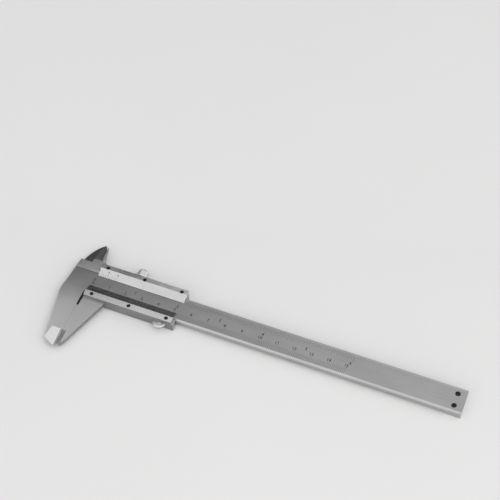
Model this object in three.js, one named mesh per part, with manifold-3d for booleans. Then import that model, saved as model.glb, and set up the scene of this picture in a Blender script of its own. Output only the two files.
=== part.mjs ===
// A 150 mm vernier caliper, closed, lying on its back.
//
// Working frame, millimetres: X runs along the beam from the line where the jaws meet, Y runs across the
// beam towards the inside jaws, and Z points out of the beam's front face, which is z = 0. The finished
// group is moved so that its origin is the bottom centre of the whole caliper.
import * as THREE from "three";
import { mergeVertices } from "three/addons/utils/BufferGeometryUtils.js";
import Module from "manifold-3d";

const wasm = await Module();
wasm.setup();

// ---- driving dimensions ----
const BEAM_WIDTH = 15;
const BEAM_THICKNESS = 3;
const BEAM_END_X = 219;
const OUTSIDE_JAW_DEPTH = 38.7; // from the beam's lower edge to the tip of the fixed outside jaw
const SLIDING_JAW_SHORTER = 1.2; // the sliding outside jaw stops this far above the fixed one's tip
const INSIDE_JAW_HEIGHT = 17.1; // from the beam's upper edge to the tip of the fixed inside jaw
const SLIDER_END_X = 55.6;
const SLIDER_TOP_Y = 11.45; // outer edge of the slider's upper rail
const SLIDER_BOTTOM_Y = -11.75; // outer edge of the slider's lower rail
const SLIDER_FRONT_Z = 2.5; // front of the vernier plates
const SLIDER_BACK_Z = -4.7; // back of the slider's web, under the back cover
const REST_Z = -5.5; // plane that the back cover and the end stop lie on
const RUNNING_GAP = 0.15; // clearance between the slider and the beam
const FIT_GAP = 0.03; // clearance of a screw or pin in its hole
const CONTACT_GAP = 0.01; // clearance between two faces that lie on each other
const SEAT_GAP = 0.02; // clearance between two faces that are screwed together

// ---- dimensions that follow from them ----
const BEAM_TOP_Y = BEAM_WIDTH / 2;
const BEAM_BOTTOM_Y = -BEAM_WIDTH / 2;
const BEAM_BACK_Z = -BEAM_THICKNESS;
const MID_Z = BEAM_BACK_Z / 2;
const FIXED_TIP_Y = BEAM_BOTTOM_Y - OUTSIDE_JAW_DEPTH;
const SLIDING_TIP_Y = FIXED_TIP_Y + SLIDING_JAW_SHORTER;
const INSIDE_TIP_Y = BEAM_TOP_Y + INSIDE_JAW_HEIGHT;
const HALF_LAP = 0.05; // half of the gap between the lapped inside jaws, and least half thickness of a tip

// ---- beam and fixed jaws ----
const SCALE_Z = -0.15; // scale face, sunk below the land along the beam's upper edge
const LAND_Y = 5.97; // lower side of that land
const LOWER_CHAMFER = 0.9; // width of the chamfer along the beam's lower edge
const CHAMFER_SLOPE = 0.75;
const CHAMFER_START_X = 1.6;
const HEAD_TOP_Y = 11.8;
const HEAD_RIGHT_X = 2.6;
const MEASURING_GAP = 0.03; // half of the gap left between the closed measuring faces
const RELIEF = { leftX: -0.3, rightX: 1.15, endY: -17.8 }; // slot at the root of the outside jaws
const ROD_GROOVE = { startX: 38, halfWidth: 1.4, floorZ: -1.4 };

// ---- tips of the outside jaws, thinned on both faces towards the measuring line ----
// Each facet leaves the jaw's face at x = fromX, and is edgeDepth below it at the measuring line. The broad
// one comes first, then the steep one beside the edge. toeShift and toeDepth tilt a facet along the jaw.
const TIP_FACET_Y = -35.6;
const FIXED_FACETS = [
  { fromX: -6.3, edgeDepth: 0.8, toeShift: -0.6, toeDepth: 0.12 },
  { fromX: -2.65, edgeDepth: 1.25, toeShift: 0, toeDepth: 0 },
];
const SLIDING_FACETS = [
  { fromX: 2.2, edgeDepth: 0.75, toeShift: 0.2, toeDepth: 0.12 },
  { fromX: 0.95, edgeDepth: 1.25, toeShift: 0, toeDepth: 0 },
];

// ---- corners of the jaws, from the root to the tip ----
const HEAD_SIDE = [
  [-11.1, HEAD_TOP_Y],
  [-11.8, 5.5],
  [-12.2, 0],
  [-12.9, -6],
];
const HEAD_CURVE = { controlX: -13.9, controlY: -10.5, endX: -12.5, endY: -15.5 };
const FIXED_HEEL = [
  [-7.2, -43.4],
  [-1.5, FIXED_TIP_Y],
];
const SLIDING_HEEL = [
  [1.1, SLIDING_TIP_Y],
  [3.2, -43.4],
];
const JAW_ROOT_X = 14.1;
const INSIDE_ROOT_Y = 14.5; // where the free part of the fixed inside jaw starts
const FIXED_INSIDE_SIDE = [
  [HEAD_RIGHT_X, 13.4],
  [2.35, 15.8],
  [1.4, 19.8],
  [0.3, INSIDE_TIP_Y],
];
const INSIDE_TIP_BLUNT = 0.4; // height of the flat at the tip of the fixed inside jaw
const INSIDE_BACK_LAND = 0.3; // what its facet leaves of the sliding inside jaw at the back
const FIXED_INSIDE_SHOULDER = { leftX: -4.2, chamfer: 0.9 };
const FIXED_INSIDE_FACETS = [
  [
    [0.7, INSIDE_ROOT_Y, 0],
    [0.15, INSIDE_TIP_Y, -0.1],
    [-MEASURING_GAP, INSIDE_ROOT_Y, -1.1],
  ],
  [
    [1.6, 13.4, 0],
    [0.35, INSIDE_TIP_Y, -0.1],
    [HEAD_RIGHT_X, 13.4, -0.45],
  ],
];
const SLIDING_INSIDE_RAMP = [
  [5.6, 12.9],
  [2.6, 14.6],
  [-MEASURING_GAP, 15.2],
  [-MEASURING_GAP, 21.5],
  [-1.6, 25.8],
  [-2.3, 26],
];
const SLIDING_INSIDE_BACK = { controlX: -7.5, controlY: 21, x: -9.7, y: 13 };
const SLIDING_INSIDE_ROOT_X = 9;
const SLIDING_INSIDE_FACET = { rootX: -4.7, rootY: 14.8, tipX: -3.3, tipY: 25, edgeZ: -2.6 };

// ---- slider ----
const LOWER_START_X = RELIEF.rightX;
const UPPER_START_X = 2.9;
const WEB_GAP = 0.2; // clearance between the slider's web and the back of the beam
const WEB_FRONT_Z = BEAM_BACK_Z - WEB_GAP;
const RAIL_FRONT_Z = 0.15;
const LOWER_RAIL_Y = BEAM_BOTTOM_Y - RUNNING_GAP;
const UPPER_RAIL_Y = 8.45;

// ---- vernier plates: a flat strip with the screws, and a bevel down to the scale ----
const UPPER_PLATE = { startX: 2.9, endX: 55.6, edgeY: 4.25, flatY: 8.65, outerY: SLIDER_TOP_Y };
const LOWER_PLATE = { startX: 1.4, endX: 54.4, edgeY: -3.45, flatY: -8.15, outerY: SLIDER_BOTTOM_Y };
const PLATE_EDGE_Z = 0.4;
const SCREW_PITCH = 22.57;
const UPPER_SCREWS = { firstX: 7.0, y: 9.55, tipZ: [-1.6, -1.6, -1.6] };
// The last screw of the lower row stops over the roller.
const LOWER_SCREWS = { firstX: 5.7, y: -9.85, tipZ: [-1.6, -1.6, -0.2] };
const SCREWS_PER_PLATE = 3;
const PLATE_SCREW = { headRadius: 1.1, headHeight: 0.7, shankRadius: 0.6, slot: 0.4, slotDepth: 0.35 };
const PLATE_BACK_Z = RAIL_FRONT_Z + CONTACT_GAP;

// ---- lock screw, its pad, the gib and its set screws ----
const LOCK_X = 25.7;
const LOCK_HEAD = { innerY: 12.5, outerY: 16.9, radius: 3.05, teeth: 22, toothDepth: 0.28 };
const LOCK_COLLAR = { radius: 2.15, height: 0.5 };
const LOCK_NECK = { innerY: 11.0, radius: 1.7, shoulderGap: 0.2 };
const LOCK_THREAD = { tipY: 9.5, radius: 1.2 };
const LOCK_PAD = { innerY: 8.42, outerY: 9.4, radius: 1.15 };
const GIB = { startX: 4, endX: 54, innerY: 7.62, outerY: 8.35, backZ: -2.8, frontZ: -0.1 };
const SET_SCREW = { innerY: 8.42, outerY: 11.1, radius: 0.8, slot: 0.35, slotDepth: 0.6 };
const SET_SCREW_X = [14, 43];

// ---- thumb roller and its pin ----
const ROLLER = { x: 47.35, y: -11.35, radius: 3.65, backZ: -1.95, frontZ: -0.45 };
const ROLLER_RIM = { teeth: 30, toothDepth: 0.22 };
const ROLLER_POCKET = { radius: 3.95, backZ: -2.1, frontZ: -0.3 };
const ROLLER_PIN = { radius: 0.6, backZ: -4.6, frontZ: -0.37, earRadius: 1.75 };
const ROLLER_BORE = 0.68;

// ---- depth rod ----
const ROD = { startX: 40, halfWidth: 1.1, backZ: -2.7, frontZ: -1.6, footEndX: 54, tipNotch: 2.5 };
const ROD_SCREW_X = [43, 51];
const ROD_SCREW = {
  headRadius: 1.1,
  headHeight: 0.6,
  shankRadius: 0.55,
  slot: 0.35,
  slotDepth: 0.3,
  tipZ: -1.8,
};

// ---- back cover ----
const COVER = { startX: 3.5, endX: 55.2, bottomY: -11.2, topY: 10.9, cornerRadius: 1.2 };
const COVER_FRONT_Z = SLIDER_BACK_Z - SEAT_GAP;
const COVER_SCREW = {
  headRadius: 1.2,
  headHeight: 0.5,
  shankRadius: 0.6,
  slot: 0.35,
  slotDepth: 0.3,
  tipZ: -3.5,
};
const COVER_SCREW_TOP_Z = REST_Z + 0.05; // the heads are sunk just clear of the rest plane
const COVER_SCREW_X = [6.5, 53.2];
const COVER_SCREW_Y = [-9.6, 9.6];

// ---- end stop behind the beam's far end ----
const END_STOP = { startX: 209, halfWidth: 7.2, chamfer: 1.2, frontZ: BEAM_BACK_Z - SEAT_GAP };
const END_SCREW_X = 214;
const END_SCREW_Y = 3.8;
const END_SCREW = {
  headRadius: 1.5,
  headHeight: 0.9,
  shankRadius: 0.8,
  slot: 0.45,
  slotDepth: 0.4,
  tipZ: -5.2,
};

// ---- solids ----
const ROUND_SIDES = 24;
const CURVE_SIDES = 10;
const OVERLAP = 0.2; // how far joined solids run into each other
const ROOT_OVERLAP = 0.5; // the same at the root of a jaw
const BEYOND = 200; // longer than anything that is cut
const OVERSHOOT = 1; // how far a cutting tool runs past the face it cuts through

function solidOf(geometry) {
  const bare = new THREE.BufferGeometry();
  bare.setAttribute("position", geometry.getAttribute("position").clone());
  bare.setIndex(geometry.index ? geometry.index.clone() : null);
  const merged = mergeVertices(bare, 1e-4);
  return new wasm.Manifold(
    new wasm.Mesh({
      numProp: 3,
      vertProperties: new Float32Array(merged.getAttribute("position").array),
      triVerts: new Uint32Array(merged.index.array),
    }),
  );
}

function geometryOf(solid) {
  const mesh = solid.getMesh();
  const positions = new Float32Array(mesh.numVert * 3);
  for (let i = 0; i < mesh.numVert; i += 1) {
    positions.set(mesh.vertProperties.subarray(i * mesh.numProp, i * mesh.numProp + 3), i * 3);
  }
  const geometry = new THREE.BufferGeometry();
  geometry.setAttribute("position", new THREE.BufferAttribute(positions, 3));
  geometry.setIndex(new THREE.BufferAttribute(new Uint32Array(mesh.triVerts), 1));
  return geometry;
}

function join(base, ...others) {
  const whole = others.reduce((sum, other) => sum.add(solidOf(other)), solidOf(base));
  return geometryOf(whole);
}

function cut(base, ...tools) {
  const rest = tools.reduce((left, tool) => left.subtract(solidOf(tool)), solidOf(base));
  return geometryOf(rest);
}

function common(base, other) {
  return geometryOf(solidOf(base).intersect(solidOf(other)));
}

// A box given by its lowest and highest coordinates along each axis.
function box([x0, x1], [y0, y1], [z0, z1]) {
  const geometry = new THREE.BoxGeometry(x1 - x0, y1 - y0, z1 - z0);
  return geometry.translate((x0 + x1) / 2, (y0 + y1) / 2, (z0 + z1) / 2);
}

// A flat outline in X and Y, extruded from z0 to z1.
function plate(shape, z0, z1) {
  const options = { depth: z1 - z0, bevelEnabled: false, curveSegments: CURVE_SIDES };
  return new THREE.ExtrudeGeometry(shape, options).translate(0, 0, z0);
}

function polygon(points) {
  return new THREE.Shape(points.map(([x, y]) => new THREE.Vector2(x, y)));
}

// A section drawn in Y and Z, extruded along X from x0 to x1.
function barAlongX(points, x0, x1) {
  const bar = new THREE.ExtrudeGeometry(polygon(points), { depth: x1 - x0, bevelEnabled: false });
  const turn = new THREE.Matrix4().makeBasis(
    new THREE.Vector3(0, 1, 0),
    new THREE.Vector3(0, 0, 1),
    new THREE.Vector3(1, 0, 0),
  );
  return bar.applyMatrix4(turn).translate(x0, 0, 0);
}

function cylinderAlongZ(x, y, radius, z0, z1) {
  const cylinder = new THREE.CylinderGeometry(radius, radius, z1 - z0, ROUND_SIDES);
  return cylinder.rotateX(Math.PI / 2).translate(x, y, (z0 + z1) / 2);
}

function cylinderAlongY(x, z, radius, y0, y1) {
  const cylinder = new THREE.CylinderGeometry(radius, radius, y1 - y0, ROUND_SIDES);
  return cylinder.translate(x, (y0 + y1) / 2, z);
}

// A round outline with shallow teeth, for a knurled rim.
function knurledShape(radius, teeth, toothDepth) {
  const points = [];
  for (let i = 0; i < teeth * 2; i += 1) {
    const angle = (i / (teeth * 2)) * Math.PI * 2;
    const reach = i % 2 === 0 ? radius : radius - toothDepth;
    points.push([reach * Math.cos(angle), reach * Math.sin(angle)]);
  }
  return polygon(points);
}

// The part of a block that lies in front of the plane through three points, or behind it where side is -1.
function facetTool(block, corners, side) {
  const [first, second, third] = corners.map((corner) => new THREE.Vector3(...corner));
  const plane = new THREE.Plane().setFromCoplanarPoints(first, second, third);
  if (plane.normal.z * side < 0) {
    plane.negate();
  }
  const slab = new THREE.BoxGeometry(BEYOND, BEYOND, BEYOND).translate(0, 0, BEYOND / 2);
  const tilt = new THREE.Quaternion().setFromUnitVectors(new THREE.Vector3(0, 0, 1), plane.normal);
  slab.applyQuaternion(tilt).translate(first.x, first.y, first.z);
  return common(block, slab);
}

// One facet that thins the tip of an outside jaw, on its front and on its back.
function tipFacet({ fromX, edgeDepth, toeShift, toeDepth }) {
  const outerX = fromX + toeShift;
  const rangeX = fromX < 0 ? [outerX - OVERSHOOT, OVERSHOOT] : [-OVERSHOOT, outerX];
  const faces = [
    { side: 1, faceZ: SCALE_Z, zRange: [MID_Z + HALF_LAP, OVERSHOOT] },
    { side: -1, faceZ: BEAM_BACK_Z, zRange: [BEAM_BACK_Z - OVERSHOOT, MID_Z - HALF_LAP] },
  ];
  return faces.map(({ side, faceZ, zRange }) => {
    const corners = [
      [fromX, TIP_FACET_Y, faceZ],
      [fromX + toeShift, FIXED_TIP_Y, faceZ - side * toeDepth],
      [0, TIP_FACET_Y, faceZ - side * edgeDepth],
    ];
    const block = box(rangeX, [FIXED_TIP_Y - OVERSHOOT, TIP_FACET_Y], zRange);
    return facetTool(block, corners, side);
  });
}

// ---- screws ----
// Drawn along Z with the top of the head at z = 0 and the tip at negative z.
function screwAlongZ(size, length) {
  const head = new THREE.CylinderGeometry(size.headRadius, size.headRadius, size.headHeight, ROUND_SIDES);
  head.rotateX(Math.PI / 2).translate(0, 0, -size.headHeight / 2);
  const shank = cylinderAlongZ(0, 0, size.shankRadius, -length, -size.headHeight / 2);
  const slot = box(
    [-size.headRadius - OVERSHOOT, size.headRadius + OVERSHOOT],
    [-size.slot / 2, size.slot / 2],
    [-size.slotDepth, OVERSHOOT],
  );
  return cut(join(head, shank), slot);
}

// The hole that such a screw fills, with its open end at z = 0.
function screwHole(size, length) {
  const seat = cylinderAlongZ(0, 0, size.headRadius + FIT_GAP, -size.headHeight - FIT_GAP, OVERSHOOT);
  const bore = cylinderAlongZ(0, 0, size.shankRadius + FIT_GAP, -length - FIT_GAP, OVERSHOOT);
  return join(seat, bore);
}

function screwHoleAt(size, x, y, topZ, tipZ) {
  return screwHole(size, topZ - tipZ).translate(x, y, topZ);
}

// The same hole seen from behind: its open end is at backZ and it runs towards the front.
function screwHoleFromBack(size, x, y, backZ, tipZ) {
  return screwHole(size, tipZ - backZ)
    .rotateX(Math.PI)
    .translate(x, y, backZ);
}

// ---- materials ----
const satinSteel = new THREE.MeshStandardMaterial({ color: 0xa9a9ac, roughness: 0.42, metalness: 1 });
const groundSteel = new THREE.MeshStandardMaterial({ color: 0xc2c2c6, roughness: 0.3, metalness: 1 });
const knurledSteel = new THREE.MeshStandardMaterial({ color: 0xb6b6ba, roughness: 0.35, metalness: 1 });
const blackenedSteel = new THREE.MeshStandardMaterial({ color: 0x1d1d20, roughness: 0.5, metalness: 0.8 });
const brass = new THREE.MeshStandardMaterial({ color: 0xb08d4a, roughness: 0.4, metalness: 1 });

// ---- beam: the scale bar, the head and both fixed jaws, in one piece ----
function lineThrough(shape, points) {
  for (const [x, y] of points) {
    shape.lineTo(x, y);
  }
}

function beamOutline() {
  const shape = new THREE.Shape();
  shape.moveTo(BEAM_END_X, BEAM_BOTTOM_Y);
  shape.lineTo(BEAM_END_X, BEAM_TOP_Y);
  shape.lineTo(HEAD_RIGHT_X, BEAM_TOP_Y);
  shape.lineTo(HEAD_RIGHT_X, HEAD_TOP_Y);
  lineThrough(shape, HEAD_SIDE);
  shape.quadraticCurveTo(HEAD_CURVE.controlX, HEAD_CURVE.controlY, HEAD_CURVE.endX, HEAD_CURVE.endY);
  lineThrough(shape, FIXED_HEEL);
  shape.lineTo(-MEASURING_GAP, FIXED_TIP_Y);
  shape.lineTo(-MEASURING_GAP, RELIEF.endY);
  shape.lineTo(RELIEF.leftX, RELIEF.endY);
  shape.lineTo(RELIEF.leftX, BEAM_BOTTOM_Y);
  return shape;
}

// The inside jaws share the beam's thickness: the fixed one is the front half, the sliding one the back half.
function fixedInsideJaw() {
  const rootY = HEAD_TOP_Y - ROOT_OVERLAP;
  const { leftX, chamfer } = FIXED_INSIDE_SHOULDER;
  const blade = polygon([
    [HEAD_RIGHT_X, rootY],
    ...FIXED_INSIDE_SIDE,
    [-MEASURING_GAP, INSIDE_TIP_Y - INSIDE_TIP_BLUNT],
    [-MEASURING_GAP, INSIDE_ROOT_Y],
    [leftX + chamfer, INSIDE_ROOT_Y],
    [leftX, INSIDE_ROOT_Y - chamfer],
    [leftX, rootY],
  ]);
  const body = plate(blade, MID_Z + HALF_LAP, 0);
  const facets = FIXED_INSIDE_FACETS.map((corners) => {
    const lowY = Math.min(...corners.map(([, y]) => y));
    const rangeX = [-OVERSHOOT, HEAD_RIGHT_X + OVERSHOOT];
    const rangeY = [lowY, INSIDE_TIP_Y + OVERSHOOT];
    return facetTool(box(rangeX, rangeY, [MID_Z, OVERSHOOT]), corners, 1);
  });
  return cut(body, ...facets);
}

function beamGeometry() {
  const bar = plate(beamOutline(), BEAM_BACK_Z, 0);
  const wholeX = [-BEYOND, BEAM_END_X + OVERSHOOT];
  const scaleFace = box(wholeX, [FIXED_TIP_Y - OVERSHOOT, LAND_Y], [SCALE_Z, OVERSHOOT]);
  const chamfer = barAlongX(
    [
      [BEAM_BOTTOM_Y - OVERSHOOT, SCALE_Z - CHAMFER_SLOPE * (LOWER_CHAMFER + OVERSHOOT)],
      [BEAM_BOTTOM_Y + LOWER_CHAMFER, SCALE_Z],
      [BEAM_BOTTOM_Y + LOWER_CHAMFER, OVERSHOOT],
      [BEAM_BOTTOM_Y - OVERSHOOT, OVERSHOOT],
    ],
    CHAMFER_START_X,
    BEAM_END_X + OVERSHOOT,
  );
  const groove = box(
    [ROD_GROOVE.startX, BEAM_END_X + OVERSHOOT],
    [-ROD_GROOVE.halfWidth, ROD_GROOVE.halfWidth],
    [BEAM_BACK_Z - OVERSHOOT, ROD_GROOVE.floorZ],
  );
  const screwHoles = [END_SCREW_Y, -END_SCREW_Y].map((y) =>
    screwHoleAt(END_SCREW, END_SCREW_X, y, SCALE_Z, BEAM_BACK_Z - OVERSHOOT),
  );
  const milled = cut(bar, scaleFace, chamfer, groove, ...screwHoles, ...FIXED_FACETS.flatMap(tipFacet));
  return join(milled, fixedInsideJaw());
}

// ---- slider: web, two rails, the sliding jaws and the roller's ear, in one piece ----
function slidingOutsideJaw() {
  const rootY = SLIDER_BOTTOM_Y + ROOT_OVERLAP;
  const blade = polygon([
    [LOWER_START_X, rootY],
    [LOWER_START_X, RELIEF.endY],
    [MEASURING_GAP, RELIEF.endY],
    [MEASURING_GAP, SLIDING_TIP_Y],
    ...SLIDING_HEEL,
    [JAW_ROOT_X, rootY],
  ]);
  return cut(plate(blade, BEAM_BACK_Z, SCALE_Z), ...SLIDING_FACETS.flatMap(tipFacet));
}

function slidingInsideJaw() {
  const rootY = UPPER_RAIL_Y + OVERLAP;
  const headClearY = HEAD_TOP_Y + RUNNING_GAP;
  const frontZ = MID_Z - HALF_LAP;
  const curve = SLIDING_INSIDE_BACK;
  const shape = new THREE.Shape();
  shape.moveTo(UPPER_START_X, rootY);
  shape.lineTo(SLIDING_INSIDE_ROOT_X, rootY);
  shape.lineTo(SLIDING_INSIDE_ROOT_X, SLIDER_TOP_Y);
  lineThrough(shape, SLIDING_INSIDE_RAMP);
  shape.quadraticCurveTo(curve.controlX, curve.controlY, curve.x, curve.y);
  shape.lineTo(curve.x, headClearY);
  shape.lineTo(UPPER_START_X, headClearY);
  const blade = plate(shape, BEAM_BACK_Z, frontZ);
  const { rootX, rootY: facetY, tipX, tipY, edgeZ } = SLIDING_INSIDE_FACET;
  const corners = [
    [rootX, facetY, frontZ],
    [tipX, tipY, frontZ],
    [-MEASURING_GAP, facetY, edgeZ],
  ];
  const above = box([rootX - OVERSHOOT, OVERSHOOT], [facetY, BEYOND], [BEAM_BACK_Z + INSIDE_BACK_LAND, 0]);
  return cut(blade, facetTool(above, corners, 1));
}

function sliderGeometry() {
  const lowerX = [LOWER_START_X, SLIDER_END_X];
  const upperX = [UPPER_START_X, SLIDER_END_X];
  const railZ = [SLIDER_BACK_Z, RAIL_FRONT_Z];
  const web = box(lowerX, [SLIDER_BOTTOM_Y, SLIDER_TOP_Y], [SLIDER_BACK_Z, WEB_FRONT_Z]);
  const lowerRail = box(lowerX, [SLIDER_BOTTOM_Y, LOWER_RAIL_Y], railZ);
  const upperRail = box(upperX, [UPPER_RAIL_Y, SLIDER_TOP_Y], railZ);
  const { radius: pocketRadius, backZ: pocketBackZ, frontZ: pocketFrontZ } = ROLLER_POCKET;
  const ear = cylinderAlongZ(ROLLER.x, ROLLER.y, ROLLER_PIN.earRadius, SLIDER_BACK_Z, pocketBackZ);
  const pocket = cylinderAlongZ(ROLLER.x, ROLLER.y, pocketRadius, pocketBackZ, pocketFrontZ);
  const lockBore = cylinderAlongY(
    LOCK_X,
    MID_Z,
    LOCK_NECK.radius + FIT_GAP,
    LOCK_NECK.innerY - LOCK_NECK.shoulderGap,
    SLIDER_TOP_Y + OVERSHOOT,
  );
  const boreY = [UPPER_RAIL_Y - OVERSHOOT, SLIDER_TOP_Y + OVERSHOOT];
  const threadBore = cylinderAlongY(LOCK_X, MID_Z, LOCK_THREAD.radius + FIT_GAP, ...boreY);
  const setBoreRadius = SET_SCREW.radius + FIT_GAP;
  const setScrewBores = SET_SCREW_X.map((x) => cylinderAlongY(x, MID_Z, setBoreRadius, ...boreY));
  const pinBore = cylinderAlongZ(
    ROLLER.x,
    ROLLER.y,
    ROLLER_PIN.radius + FIT_GAP,
    ROLLER_PIN.backZ - FIT_GAP,
    pocketFrontZ,
  );
  const plateBores = vernierScrews().map(({ x, y, tipZ }) =>
    cylinderAlongZ(x, y, PLATE_SCREW.shankRadius + FIT_GAP, tipZ - FIT_GAP, SLIDER_FRONT_Z),
  );
  const rodBores = ROD_SCREW_X.map((x) => screwHoleFromBack(ROD_SCREW, x, 0, SLIDER_BACK_Z, ROD_SCREW.tipZ));
  const coverBoreRadius = COVER_SCREW.shankRadius + FIT_GAP;
  const coverBoreZ = [SLIDER_BACK_Z - OVERSHOOT, COVER_SCREW.tipZ + FIT_GAP];
  const coverBores = coverScrewPlaces().map(([x, y]) => cylinderAlongZ(x, y, coverBoreRadius, ...coverBoreZ));
  const body = join(web, lowerRail, upperRail, ear, slidingOutsideJaw(), slidingInsideJaw());
  const bores = [lockBore, threadBore, ...setScrewBores, pinBore, ...plateBores, ...rodBores, ...coverBores];
  return cut(body, pocket, ...bores);
}

// ---- vernier plates ----
function vernierScrews() {
  const places = [];
  for (let i = 0; i < SCREWS_PER_PLATE; i += 1) {
    for (const [row, set] of [
      ["upper", UPPER_SCREWS],
      ["lower", LOWER_SCREWS],
    ]) {
      places.push({
        name: `${row}_plate_screw_${i + 1}`,
        row,
        x: set.firstX + i * SCREW_PITCH,
        y: set.y,
        tipZ: set.tipZ[i],
      });
    }
  }
  return places;
}

function vernierPlateGeometry(size, row) {
  const section = [
    [size.outerY, PLATE_BACK_Z],
    [size.outerY, SLIDER_FRONT_Z],
    [size.flatY, SLIDER_FRONT_Z],
    [size.edgeY, PLATE_EDGE_Z],
    [size.edgeY, PLATE_BACK_Z],
  ];
  const inOrder = size.outerY > 0 ? section : section.reverse();
  const bar = barAlongX(inOrder, size.startX, size.endX);
  const holes = vernierScrews()
    .filter((screw) => screw.row === row)
    .map(({ x, y, tipZ }) => screwHoleAt(PLATE_SCREW, x, y, SLIDER_FRONT_Z, tipZ));
  return cut(bar, ...holes);
}

// ---- clamping parts ----
function lockScrewGeometry() {
  const headDepth = LOCK_HEAD.outerY - LOCK_HEAD.innerY;
  const outline = knurledShape(LOCK_HEAD.radius, LOCK_HEAD.teeth, LOCK_HEAD.toothDepth);
  const head = plate(outline, 0, headDepth);
  head.rotateX(-Math.PI / 2).translate(0, LOCK_HEAD.innerY, 0);
  const { radius: collarRadius, height: collarHeight } = LOCK_COLLAR;
  const collarY = LOCK_HEAD.outerY + collarHeight;
  const collar = cylinderAlongY(0, 0, collarRadius, LOCK_HEAD.outerY - OVERLAP, collarY);
  const neck = cylinderAlongY(0, 0, LOCK_NECK.radius, LOCK_NECK.innerY, LOCK_HEAD.innerY + OVERLAP);
  const thread = cylinderAlongY(0, 0, LOCK_THREAD.radius, LOCK_THREAD.tipY, LOCK_NECK.innerY + OVERLAP);
  return join(head, collar, neck, thread);
}

function setScrewGeometry() {
  const body = cylinderAlongY(0, 0, SET_SCREW.radius, SET_SCREW.innerY, SET_SCREW.outerY);
  const slot = box(
    [-SET_SCREW.radius - OVERSHOOT, SET_SCREW.radius + OVERSHOOT],
    [SET_SCREW.outerY - SET_SCREW.slotDepth, SET_SCREW.outerY + OVERSHOOT],
    [-SET_SCREW.slot / 2, SET_SCREW.slot / 2],
  );
  return cut(body, slot);
}

function rollerGeometry() {
  const shape = knurledShape(ROLLER.radius, ROLLER_RIM.teeth, ROLLER_RIM.toothDepth);
  const wheel = plate(shape, ROLLER.backZ, ROLLER.frontZ);
  const bore = cylinderAlongZ(0, 0, ROLLER_BORE, ROLLER.backZ - OVERSHOOT, ROLLER.frontZ + OVERSHOOT);
  return cut(wheel, bore);
}

// ---- depth rod: the blade in the beam's groove, and the foot that the slider holds ----
function depthRodGeometry() {
  const blade = box([ROD.startX, BEAM_END_X], [-ROD.halfWidth, ROD.halfWidth], [ROD.backZ, ROD.frontZ]);
  const footZ = [WEB_FRONT_Z + CONTACT_GAP, ROD.backZ + OVERLAP];
  const foot = box([ROD.startX, ROD.footEndX], [-ROD.halfWidth, ROD.halfWidth], footZ);
  const notch = polygon([
    [BEAM_END_X - ROD.tipNotch, -ROD.halfWidth - OVERSHOOT],
    [BEAM_END_X + OVERSHOOT, -ROD.halfWidth - OVERSHOOT],
    [BEAM_END_X + OVERSHOOT, 0],
    [BEAM_END_X, 0],
  ]);
  const bores = ROD_SCREW_X.map((x) =>
    cylinderAlongZ(x, 0, ROD_SCREW.shankRadius + FIT_GAP, WEB_FRONT_Z - OVERSHOOT, ROD_SCREW.tipZ + FIT_GAP),
  );
  return cut(join(blade, foot), plate(notch, ROD.backZ - OVERSHOOT, ROD.frontZ + OVERSHOOT), ...bores);
}

// ---- back cover ----
function coverScrewPlaces() {
  return COVER_SCREW_X.flatMap((x) => COVER_SCREW_Y.map((y) => [x, y]));
}

function backCoverGeometry() {
  const { startX, endX, bottomY, topY, cornerRadius: r } = COVER;
  const shape = new THREE.Shape();
  shape.absarc(startX + r, bottomY + r, r, Math.PI, Math.PI * 1.5);
  shape.absarc(endX - r, bottomY + r, r, Math.PI * 1.5, Math.PI * 2);
  shape.absarc(endX - r, topY - r, r, 0, Math.PI / 2);
  shape.absarc(startX + r, topY - r, r, Math.PI / 2, Math.PI);
  const holes = coverScrewPlaces().map(([x, y]) =>
    screwHoleFromBack(COVER_SCREW, x, y, COVER_SCREW_TOP_Z, COVER_SCREW.tipZ),
  );
  return cut(plate(shape, REST_Z, COVER_FRONT_Z), ...holes);
}

// ---- end stop ----
function endStopGeometry() {
  const c = END_STOP.chamfer;
  const w = END_STOP.halfWidth;
  const shape = polygon([
    [END_STOP.startX + c, -w],
    [BEAM_END_X, -w],
    [BEAM_END_X, w],
    [END_STOP.startX + c, w],
    [END_STOP.startX, w - c],
    [END_STOP.startX, -w + c],
  ]);
  const bores = [END_SCREW_Y, -END_SCREW_Y].map((y) =>
    cylinderAlongZ(END_SCREW_X, y, END_SCREW.shankRadius + FIT_GAP, END_SCREW.tipZ - FIT_GAP, 0),
  );
  return cut(plate(shape, REST_Z, END_STOP.frontZ), ...bores);
}

// ---- assembly ----
function part(name, geometry, material, [x, y, z] = [0, 0, 0]) {
  const mesh = new THREE.Mesh(geometry, material);
  mesh.name = name;
  mesh.position.set(x, y, z);
  return mesh;
}

const beam = new THREE.Group();
beam.add(part("beam", beamGeometry(), satinSteel));
beam.add(part("end_stop", endStopGeometry(), satinSteel));
[END_SCREW_Y, -END_SCREW_Y].forEach((y, i) => {
  const screw = screwAlongZ(END_SCREW, SCALE_Z - END_SCREW.tipZ);
  beam.add(part(`end_stop_screw_${i + 1}`, screw, blackenedSteel, [END_SCREW_X, y, SCALE_Z]));
});

const slider = new THREE.Group();
slider.add(part("slider_body", sliderGeometry(), satinSteel));
slider.add(part("upper_vernier_plate", vernierPlateGeometry(UPPER_PLATE, "upper"), groundSteel));
slider.add(part("lower_vernier_plate", vernierPlateGeometry(LOWER_PLATE, "lower"), groundSteel));
for (const { name, x, y, tipZ } of vernierScrews()) {
  const screw = screwAlongZ(PLATE_SCREW, SLIDER_FRONT_Z - tipZ);
  slider.add(part(name, screw, blackenedSteel, [x, y, SLIDER_FRONT_Z]));
}

const gibStrip = box([GIB.startX, GIB.endX], [GIB.innerY, GIB.outerY], [GIB.backZ, GIB.frontZ]);
slider.add(part("gib_strip", gibStrip, brass));
SET_SCREW_X.forEach((x, i) => {
  slider.add(part(`gib_set_screw_${i + 1}`, setScrewGeometry(), blackenedSteel, [x, 0, MID_Z]));
});

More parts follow.
